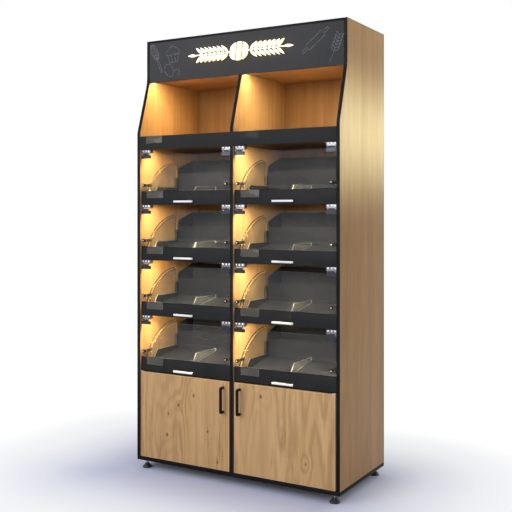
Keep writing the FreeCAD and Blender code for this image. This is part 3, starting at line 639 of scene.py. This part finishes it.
# the loaf is an oval in three pieces, parted by two slanting cuts
loaf_left, piece_width, half_cut, slant = -0.052, 0.0347, 0.0055, 0.12
loaf_half_length, loaf_half_height = 0.056, 0.047
loaf = []
for n in range(3):
    low = loaf_left + n * piece_width + (half_cut if n else 0)
    high = loaf_left + (n + 1) * piece_width - (half_cut if n < 2 else 0)
    upper, lower = [], []
    for k in range(7):
        x = low + (high - low) * k / 6
        reach = loaf_half_height * max(0.0, 1 - (abs(x) / loaf_half_length) ** 2.4) ** 0.5
        upper.append((x + slant * reach, reach))
        lower.append((x - slant * reach, -reach))
    loaf.append(cut_out(lower + upper[::-1], ornament_front, ornament_back))
whole_loaf = merged(loaf)
whole_loaf.transform(Matrix.Translation((0, 0, ornament_z)))
made("ornament_loaf", whole_loaf, [lit_face, lit_rim], "carcase")


def scattered(name, one, spots, facing, body, finishes):
    """Geometry nodes: copies of one small form on a set of points, all turned the same
    way. Each finish goes to the faces that carry its number in the form."""
    cloud = bpy.data.meshes.new(name + "_spots")
    cloud.from_pydata(spots, [], [])
    piece = bpy.data.objects.new(name, cloud)
    bpy.context.scene.collection.objects.link(piece)
    template = made(name + "_one", one, finishes, None)
    names = [f"Finish {number}" for number in range(len(finishes))]
    group, given, result = node_tree(name, (
        ("Spots", "Geometry"), ("Piece", "Object"), ("Turn", "Rotation"),
        *[(each, "Material") for each in names]))
    nodes, link = group.nodes, group.links.new
    found = nodes.new("GeometryNodeObjectInfo")
    placed = nodes.new("GeometryNodeInstanceOnPoints")
    solid = nodes.new("GeometryNodeRealizeInstances")
    link(given.outputs["Piece"], found.inputs["Object"])
    link(given.outputs["Spots"], placed.inputs["Points"])
    link(found.outputs["Geometry"], placed.inputs["Instance"])
    link(given.outputs["Turn"], placed.inputs["Rotation"])
    link(placed.outputs[0], solid.inputs[0])
    link(painted(group, solid.outputs[0], given, names), result.inputs[0])
    turn = Vector((0, 0, 1)).rotation_difference(Vector(facing)).to_euler()
    shaped(piece, group, {"Piece": template, "Turn": turn, **dict(zip(names, finishes))})
    bpy.data.objects.remove(template)
    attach(piece, body)


ear_pins, loaf_pins = (-0.24, -0.17, -0.10, 0.10, 0.17, 0.24), (-0.036, -0.012, 0.012, 0.036)
pin_spots = [(x, ornament_back, ornament_z) for x in ear_pins + loaf_pins]
pin_radius, pin_length = 0.0022, 0.0068
stand_off = lathe([(0, 0), (pin_radius, 0), (pin_radius, pin_length), (0, pin_length)],
                  (0, 0, 0), segments=12, smooth=60)
scattered("ornament_pins", stand_off, pin_spots, (0, 1, 0), "carcase", [zinc.material])


# ================================================================ chalk drawings
# Thin chalk-grey line drawings printed near the ends of the fascia: a whisk, a muffin and
# two eggs on the left, a rolling pin and a sprig on the right.

stroke_width, off_board, drawing_scale = 0.0027, 0.0004, 1.2
chalk = Finish("chalk_line", 0.8, colour=(0.26, 0.26, 0.27))
worn = chalk.noise(chalk.place, 260, 4, 0.7)
chalk.set("Alpha", chalk.between(worn, 0.25, 0.9, 0.35, 0.62))


def chalk_stroke(points):
    """A flat ribbon along (x, z) points, just clear of the board."""
    form = bmesh.new()
    rails = []
    for n, point in enumerate(points):
        ahead, behind = points[min(n + 1, len(points) - 1)], points[max(n - 1, 0)]
        along = (Vector(ahead) - Vector(behind)).normalized()
        side = Vector((-along.y, along.x)) * stroke_width / 2
        rails.append([form.verts.new((point[0] + s * side.x, fascia_front - off_board,
                                      point[1] + s * side.y)) for s in (1, -1)])
    for first, second in zip(rails, rails[1:]):
        form.faces.new([first[0], first[1], second[1], second[0]])
    bmesh.ops.recalc_face_normals(form, faces=form.faces)
    form.normal_update()
    if sum(face.normal.y for face in form.faces) > 0:
        bmesh.ops.reverse_faces(form, faces=form.faces)
    return form


def turned_points(points, centre, degrees, size=1.0):
    """Moves a drawing's points: turned, scaled, then set at centre."""
    c, s = math.cos(math.radians(degrees)), math.sin(math.radians(degrees))
    return [(centre[0] + size * (x * c - z * s), centre[1] + size * (x * s + z * c))
            for x, z in points]


def oval(width, height, start=0, stop=360, steps=26):
    """Points round an oval, or round a part of it in degrees."""
    return [(width / 2 * math.cos(math.radians(a)), height / 2 * math.sin(math.radians(a)))
            for a in (start + (stop - start) * n / steps for n in range(steps + 1))]


whisk = [[(x, z + 0.052) for x, z in oval(w, 0.078)] for w in (0.036, 0.022, 0.007)]
whisk += [[(-0.004, 0.012), (-0.0045, -0.052), (0.0045, -0.052), (0.004, 0.012),
           (-0.004, 0.012)]]
muffin = [[(-0.030, 0.0), (-0.021, -0.036), (0.021, -0.036), (0.030, 0.0)],
          [(-0.011, -0.003), (-0.008, -0.034)], [(0.011, -0.003), (0.008, -0.034)],
          [(x, z + 0.002) for x, z in oval(0.074, 0.062, 0, 180)],
          [(-0.037, 0.002), (-0.018, -0.003), (0.0, 0.002), (0.018, -0.003), (0.037, 0.002)],
          [(x, z + 0.038) for x, z in oval(0.010, 0.010)]]
handle = [(0.045, -0.0045), (0.072, -0.0055), (0.076, 0.0), (0.072, 0.0055), (0.045, 0.0045)]
rolling_pin = [[(-0.045, -0.013), (0.045, -0.013), (0.045, 0.013), (-0.045, 0.013),
                (-0.045, -0.013)], handle, [(-x, z) for x, z in handle]]
sprig = [[(0.0, -0.060), (0.002, -0.02), (0.0, 0.03)]]
for n in range(5):
    for sign in (1, -1):
        leaf = turned_points(grain_outline(0.026, 0.011), (0.001, -0.012 + n * 0.014),
                             90 - sign * 42)
        sprig.append(leaf + leaf[:1])
egg = [(x * (1 + 6 * z), z) for x, z in oval(0.044, 0.060)]
eggs = [turned_points(egg, (-0.018, 0.0), 28), turned_points(oval(0.034, 0.026, -100, 120),
                                                             (0.022, -0.012), 20)]
for name, drawing, centre, degrees in (
        ("chalk_whisk", whisk, (-0.522, 2.200), 24), ("chalk_muffin", muffin, (-0.424, 2.236), 6),
        ("chalk_eggs", eggs, (-0.428, 2.150), 0),
        ("chalk_rolling_pin", rolling_pin, (0.430, 2.226), 38),
        ("chalk_sprig", sprig, (0.535, 2.180), -22)):
    strokes = [chalk_stroke(turned_points(line, centre, degrees, drawing_scale))
               for line in drawing]
    made(name, merged(strokes), [chalk.material], "carcase")


# ================================================================ back panel
# A thin oak-faced board that closes the rack from behind. It is screwed into the edges
# of the sides, the divider and the boards.

# the back board's oak is painted darker than the other boards: painted shade, for the shade inside the
# cells and bins
back_oak_painted_shade = oak("back_oak_painted_shade", "z", (0.66, 0.58, 0.52), figure=0.30, seed=8.3)
dressed("back_panel", 0.0004, [back_oak_painted_shade])


def pan_head(radius, height):
    """The upper face of a cross-recessed screw, looking along +Z."""
    form = lathe([(radius, 0), (radius * 0.98, height * 0.45), (radius * 0.72, height * 0.92),
                  (radius * 0.40, height), (0, height)], (0, 0, 0), segments=16, smooth=60)
    arm, depth = radius * 0.13, height * 0.45
    for turn in (0, math.pi / 2):
        slot = bmesh.ops.create_cube(form, size=1)["verts"]
        shape = Matrix.Rotation(turn, 4, "Z") @ Matrix.Translation((0, 0, height * 1.01)) \
            @ Matrix.Diagonal((radius * 1.05, arm * 2, depth * 0.12, 1))
        bmesh.ops.transform(form, matrix=shape, verts=slot)
        for face in {face for vert in slot for face in vert.link_faces}:
            face.material_index = 1
    return form


screw_dark = Finish("screw_recess", 0.6, 0.6, (0.05, 0.05, 0.05)).material
back_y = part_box("back_panel")[1][1]
screw_step, side_line, board_lines = 0.15, 0.573, (0.075, 0.536, 1.729, 2.10)
back_spots = [(x, back_y, 0.12 + screw_step * n) for n in range(15)
              for x in (-side_line, 0.0, side_line)]
back_spots += [(-0.45 + screw_step * n, back_y, z) for n in range(7) if n != 3
               for z in board_lines]
scattered("back_screws", pan_head(0.0036, 0.0012), back_spots, (0, 1, 0), "carcase",
          [zinc.material, screw_dark])


# ================================================================ light strips
# Aluminium channels with an opal strip, let in under each board near the front. They
# give the warm light of the bread cells and of the bins. Each strip is weaker towards
# its ends.

def brushed_metal(name, rough, dark, pale, lines=(8, 600, 600), detail=3):
    """Ground metal: fine lines along X, between a darker and a paler tone."""
    metal = Finish(name, rough, 1.0)
    ground = metal.noise(metal.stretched(lines), 1.0, detail)
    metal.set("Base Color", metal.shade(ground, (0.3, dark), (0.7, pale)))
    return metal.material


strip_aluminium = brushed_metal("strip_aluminium", 0.35, (0.62, 0.62, 0.63),
                                (0.78, 0.78, 0.78), (6, 900, 900), 2)
dressed("led_profiles", 0.0003, [strip_aluminium])

strip_middle, cell_power, bin_power, right_gain = 0.2955, 268.0, 194.0, 1.08
warm_strip = Finish("warm_strip_light", 0.5, colour=(1.0, 0.9, 0.72))
dots = warm_strip.add("ShaderNodeTexWave", {"Vector": warm_strip.place, "Scale": 38.0},
                      bands_direction="X").outputs["Fac"]
warm_strip.set("Emission Color", warm_strip.shade(dots, (0.0, (1.0, 0.80, 0.40)),
                                                  (1.0, (1.0, 0.85, 0.47))))
spot = warm_strip.add("ShaderNodeSeparateXYZ", {0: warm_strip.place}).outputs


def cells_or_bins(cells, bins):
    """One value for the strips of the cells, and another for those of the bins above."""
    return warm_strip.between(spot["Z"], cells, bins, 1.9, 2.0)


from_middle = warm_strip.sum("ABSOLUTE", warm_strip.sum(
    "SUBTRACT", warm_strip.sum("ABSOLUTE", spot["X"]), strip_middle))
power = warm_strip.sum("MULTIPLY", cells_or_bins(cell_power, bin_power),
                       warm_strip.between(spot["X"], 1.0, right_gain, -0.01, 0.01))
ends = warm_strip.sum("MULTIPLY", warm_strip.between(from_middle, 0.0, 1.0, 0.215, 0.262),
                      cells_or_bins(0.95, 0.60))
warm_strip.set("Emission Strength", warm_strip.sum(
    "MULTIPLY", power, warm_strip.sum("SUBTRACT", 1.0, ends)))
lit_by_strips = bpy.data.collections.new("lit_by_strips")


def shield(piece):
    """Keeps the strips' light off a piece that it would burn out from close by."""
    lit_by_strips.objects.link(piece)
    lit_by_strips.collection_objects[-1].light_linking.link_state = "EXCLUDE"


shield(floor)
opal_strips = frame["nodes"]["led_diffusers"]
opal_strips.light_linking.receiver_collection = lit_by_strips
opal_strips.data.materials.clear()
opal_strips.data.materials.append(warm_strip.material)


# ================================================================ trays
# Folded steel, powder-coated near black: bent bearers on the walls carry a sloping bread
# tray in front and a raised tray behind it.

sheet_edge = 0.0004
tray_paint = powder_coat("tray_powder_coat", (0.0138, 0.0150, 0.0230), 0.45, 0.00001)
bearer_paint = powder_coat("bearer_powder_coat", (0.012, 0.012, 0.013), 0.45)
dressed("tray_bearers", sheet_edge, [bearer_paint])
dressed("bread_trays", sheet_edge, [tray_paint], thin=True)
dressed("riser_trays", sheet_edge, [tray_paint], thin=True)


# ================================================================ clear guards
# Smoke-brown acrylic on the cell walls, its front rim moulded back to the wall, and three
# low strips that part each tray: the middle one clear, the outer two dark. The sawn edges
# are frosted and catch the light.

def acrylic(name, tint, cover, rough=0.06):
    """Clear sheet: see-through faces with a polished skin and faint cleaning marks."""
    sheet = Finish(name, rough, colour=tint)
    wiped = sheet.noise(sheet.stretched((3, 3, 1.2)), 4.0, 4, 0.6)
    sheet.set("Alpha", sheet.between(wiped, cover * 0.85, cover * 1.2, 0.3, 0.7))
    sheet.set("Roughness", sheet.between(wiped, rough, rough + 0.05))
    sheet.set("IOR", 1.49)
    return sheet.material


wall_face, divider_face = 0.582, 0.009
guard_sheet = acrylic("guard_acrylic", (0.27, 0.20, 0.13), 0.33, 0.22)
guard_edge = acrylic("guard_sawn_edge", (0.38, 0.27, 0.16), 0.75, 0.35)

# the moulded rim's colour is painted shade and painted light: dark where it meets the wall
# and the sheet as painted shade in the joints, and paler in between as painted strip light
rim = Finish("guard_moulded_rim", 0.40)
across = rim.sum("ABSOLUTE", rim.add("ShaderNodeSeparateXYZ", {0: rim.place}).outputs["X"])
off_wall = rim.sum("MINIMUM", *(rim.sum("ABSOLUTE", rim.sum("SUBTRACT", across, face))
                                for face in (wall_face, divider_face)))
over_rim = rim.sum("MULTIPLY", off_wall, 68.0)
rim.set("Base Color", rim.shade(over_rim, (0.26, (0.09, 0.040, 0.012)),
                                (0.42, (0.44, 0.30, 0.14)), (0.60, (0.44, 0.30, 0.14)),
                                (0.78, (0.12, 0.06, 0.02))))
rim.set("Alpha", 0.72)
rim.set("Specular IOR Level", 0.15)


def guard_choice(face):
    """The flat sheet, the sloping rim that meets the wall, and the sawn edges."""
    if abs(face.normal.x) > 0.9:
        return 0
    return 1 if abs(face.normal.x) > 0.3 else 2


dressed("side_guards", sheet_edge, [guard_sheet, rim.material, guard_edge], guard_choice)
middle_strips = (0.15, 0.45)
low_sheet = acrylic("divider_acrylic", (0.55, 0.56, 0.56), 0.10)
low_edge = acrylic("divider_sawn_edge", (0.82, 0.82, 0.80), 0.62, 0.3)
end_sheet = powder_coat("dark_end_sheet", (0.010, 0.010, 0.010), 0.50, 0.00001)


def divider_choice(face):
    """Clear in the middle of a tray, dark at its two ends, with pale sawn edges."""
    if abs(face.normal.x) < 0.9:
        return 1
    low, high = middle_strips
    return 0 if low < abs(face.calc_center_median().x) < high else 2


dressed("tray_dividers", sheet_edge, [low_sheet, low_edge, end_sheet], divider_choice)


# ================================================================ flap hinges
# The fixed half of each hinge: a dark block under the board above, a chromed leaf on its
# face with two lugs and a riveted pin, and three screws in a row.

carcase_front = -0.264
leaf_back = carcase_front + 0.015
leaf_front = leaf_back - 0.002
leaf_chrome = brushed_metal("brushed_chrome_leaf", 0.26, (0.17, 0.172, 0.19),
                            (0.28, 0.283, 0.305))


def leaf_choice(face):
    """The chromed leaf in front, and the moulded block behind it."""
    return 0 if face.calc_center_median().y < leaf_back - 0.0001 else 1


shield(dressed("hinge_mounts", 0.0003, [leaf_chrome, moulded_black.material], leaf_choice))

SIDES, ROWS = ("left", "right"), (1, 2, 3, 4)
column_left = {"left": -wall_face, "right": divider_face}
column_width, first_level, pitch = wall_face - divider_face, 0.527, 0.29825
hinge_in, leaf_screw_drop, leaf_screw_step = 0.030, 0.0062, 0.019
bright_screw = Finish("bright_screw", 0.18, 1.0, (0.96, 0.96, 0.97))
bright_screw.set("Roughness", bright_screw.between(
    bright_screw.noise(bright_screw.place, 400, 2), 0.14, 0.26))
leaf_spots = [(column_left[side] + end + step, leaf_front,
               first_level + row * pitch - leaf_screw_drop)
              for side in SIDES for row in ROWS
              for end in (hinge_in, column_width - hinge_in)
              for step in (-leaf_screw_step, 0.0, leaf_screw_step)]
scattered("hinge_screws", pan_head(0.0048, 0.0022), leaf_spots, (0, -1, 0), "carcase",
          [bright_screw.material, screw_dark])


# ================================================================ flaps
# A clear acrylic flap hangs from a pair of clamp hinges, whose two plates grip it at its
# upper edge. A turned knob goes through each lower corner to lift it by.

dark_chrome = brushed_metal("dark_chrome", 0.24, (0.032, 0.033, 0.042),
                            (0.060, 0.062, 0.076))
chrome = Finish("chrome_plate", 0.10, 1.0)
chrome.set("Base Color", chrome.shade(chrome.noise(chrome.place, 60, 3),
                                      (0.3, (0.72, 0.73, 0.76)), (0.7, (0.82, 0.82, 0.84))))
chrome.set("Roughness", chrome.between(chrome.noise(chrome.place, 220, 3), 0.07, 0.20))
knob_black = Finish("knob_black", 0.35, colour=(0.003, 0.003, 0.0035))
knob_black.set("Specular IOR Level", 0.12)
knob_black.relief(knob_black.noise(knob_black.place, 900, 2), 0.00003)
pane_sheet = acrylic("flap_acrylic", (0.70, 0.74, 0.76), 0.022, 0.03)
pane_edge = acrylic("flap_polished_edge", (0.60, 0.66, 0.64), 0.65, 0.15)


def pane_choice(face):
    """The clear faces of a flap, and its polished edge."""
    return 0 if abs(face.normal.y) > 0.9 else 1


def slab(low, high):
    """A square-edged block between two corners."""
    form = bmesh.new()
    bmesh.ops.create_cube(form, size=1)
    size = [b - a for a, b in zip(low, high)]
    middle = [(a + b) / 2 for a, b in zip(low, high)]
    form.transform(Matrix.Translation(middle) @ Matrix.Diagonal((*size, 1)))
    return form


plate_front, pane_front, pane_back, plate_back = -0.252, -0.250, -0.245, -0.243
pivot_drop, plate_half, plate_drop = 0.024, 0.029, 0.024
knuckle_radius, knuckle_length, broken = 0.0036, 0.036, 0.000432
clamp_screw_drop, clamp_screw_step = 0.0148, 0.017
knuckle_line = [(0, 0), (knuckle_radius - broken, 0), (knuckle_radius, broken),
                (knuckle_radius, knuckle_length - broken),
                (knuckle_radius - broken, knuckle_length), (0, knuckle_length)]


def clamp(x, pivot_z):
    """A hinge's front plate, its neck up to the knuckle, and the plate behind the pane."""
    neck_half = knuckle_length / 2
    return [slab((x - plate_half, plate_front, pivot_z - plate_drop),
                 (x + plate_half, pane_front, pivot_z - 0.0055)),
            slab((x - neck_half, plate_front, pivot_z - 0.0060),
                 (x + neck_half, pane_front, pivot_z - 0.0015)),
            slab((x - plate_half, pane_back, pivot_z - plate_drop),
                 (x + plate_half, plate_back, pivot_z - 0.007))]


knob_in, knob_rise, knob_length = 0.025, 0.106, 0.0720
knob_front = carcase_front - 0.0058
knob_line = [(0, 0.0006), (0.0072, 0.0006), (0.0086, 0.0016), (0.0090, 0.0030),
             (0.0090, 0.0080), (0.0082, 0.0096), (0.0078, 0.0116), (0.0078, 0.0196),
             (0.0064, 0.0198), (0.0064, 0.0248), (0.0078, 0.0250), (0.0078, 0.0600),
             (0.0082, 0.0620), (0.0089, 0.0634), (0.0089, 0.0700), (0.0074, 0.0714),
             (0, 0.0714)]
cap_line = [(0, -0.0014), (0.0018, -0.0012), (0.0032, -0.0005), (0.0038, 0.0004),
            (0.0038, 0.0012), (0, 0.0012)]
rear_cap_line = [(radius, knob_length - y) for radius, y in reversed(cap_line)]


def knob_part(line, x, z):
    """A turned piece of a knob, from its front end backwards."""
    return lathe(line, (x, knob_front, z), "y", 32, 50)


for side in SIDES:
    for row in ROWS:
        key = f"{side}_{row}"
        body = carrier[f"flap_pane_{key}"]
        shield(dressed(f"flap_pane_{key}", sheet_edge, [pane_sheet, pane_edge], pane_choice))
        pivot_z = first_level + row * pitch - pivot_drop
        knob_z = first_level + (row - 1) * pitch + knob_rise
        hinges_x, knobs_x = ([column_left[side] + inset, column_left[side] + column_width - inset]
                             for inset in (hinge_in, knob_in))
        plates = merged([form for x in hinges_x for form in clamp(x, pivot_z)])
        plates = ease(made(f"clamp_plates_{key}", plates, [dark_chrome], None), 0.0004)
        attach(plates, body)
        knuckles = [lathe(knuckle_line, (x - knuckle_length / 2, plate_front, pivot_z), "x", 32)
                    for x in hinges_x]
        made(f"clamp_knuckles_{key}", merged(knuckles), [dark_chrome], body)
        clamp_spots = [(x + step, plate_front, pivot_z - clamp_screw_drop)
                       for x in hinges_x for step in (-clamp_screw_step, clamp_screw_step)]
        scattered(f"clamp_screws_{key}", pan_head(0.0026, 0.0010), clamp_spots, (0, -1, 0),
                  body, [dark_chrome, screw_dark])
        caps = [knob_part(line, x, knob_z) for x in knobs_x for line in (cap_line, rear_cap_line)]
        made(f"knob_caps_{key}", merged(caps), [chrome.material], body)
        stems = [knob_part(knob_line, x, knob_z) for x in knobs_x]
        made(f"knob_bodies_{key}", merged(stems), [knob_black.material], body)
        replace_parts(plates, f"flap_fittings_{key}")


# ================================================================ crumb drawers
# One folded graphite sheet makes the front and the shallow crumb tray. A white pull bar
# is screwed on from behind, and a clear label holder is stuck at its upper left.

drawer_paint = powder_coat("graphite_powder_coat", (0.0185, 0.0193, 0.0198), 0.40)
pull_paint = powder_coat("white_powder_coat", (0.88, 0.88, 0.87), 0.35)
label_sheet = acrylic("label_acrylic", (0.18, 0.165, 0.13), 0.50, 0.12)
label_edge = acrylic("label_edge", (0.30, 0.31, 0.31), 0.75, 0.25)
bar_top = 0.030


def pull_choice(level):
    """The pull bar below, and the label holder's sheet and edges above it."""
    def choose(face):
        if face.calc_center_median().z < level + bar_top:
            return 0
        return 1 if abs(face.normal.y) > 0.9 else 2
    return choose


for side in SIDES:
    for row in ROWS:
        key = f"{side}_{row}"
        shield(dressed(f"crumb_drawer_{key}", 0.0006, [drawer_paint], thin=True))
        dressed(f"drawer_pull_{key}", 0.0009, [pull_paint, label_sheet, label_edge],
                pull_choice(first_level + (row - 1) * pitch), segments=3, thin=True)


# ================================================================ rail labels
# The same clear holders on the bin rail. The left one holds a grey card, and the right
# one is empty.

empty_label = acrylic("empty_label_acrylic", (0.09, 0.09, 0.09), 0.16, 0.12)


def rail_choice(face):
    """The empty holder on the right, and the left one's sheet and edges."""
    if face.calc_center_median().x > 0:
        return 1
    return 0 if abs(face.normal.y) > 0.9 else 2


dressed("rail_label_holders", sheet_edge, [label_sheet, empty_label, label_edge], rail_choice)


# ================================================================ cupboard doors
# Two inset oak doors with upright grain and a few knots, their rounded edges painted
# paler as a painted highlight.
# They turn on steel pins and are opened by black bow handles.

left_door_oak = oak("left_door_oak", "z", (1.38, 1.35, 1.25), rings=13, figure=0.75,
                    seed=0.9, wild=1.0,
                    knots=((-0.232, 0.428, 0.0075), (-0.328, 0.368, 0.0085),
                           (-0.392, 0.317, 0.0060), (-0.402, 0.203, 0.0085),
                           (-0.145, 0.252, 0.0060), (-0.084, 0.104, 0.0060)))
right_door_oak = oak("right_door_oak", "z", (1.53, 1.53, 1.44), rings=13, figure=0.75,
                     seed=3.4, wild=1.0,
                     knots=((0.170, 0.468, 0.0085), (0.420, 0.170, 0.0040)))
# the rounded edges' oak is much paler: a painted highlight along them
door_edge_highlight = oak("door_edge_highlight_oak", "z", (2.1, 2.1, 2.0), figure=0.2, seed=6.0)
dressed("door_left", 0.0020, [left_door_oak, door_edge_highlight], broken=1)
dressed("door_right", 0.0020, [right_door_oak, door_edge_highlight], broken=1)

satin_steel = brushed_metal("satin_steel", 0.28, (0.50, 0.51, 0.54), (0.66, 0.66, 0.68),
                            (8, 700, 700))
dressed("door_pivots", 0.0003, [satin_steel])
for side in SIDES:
    dressed(f"door_handle_{side}", 0.0018, [black_steel], segments=3)
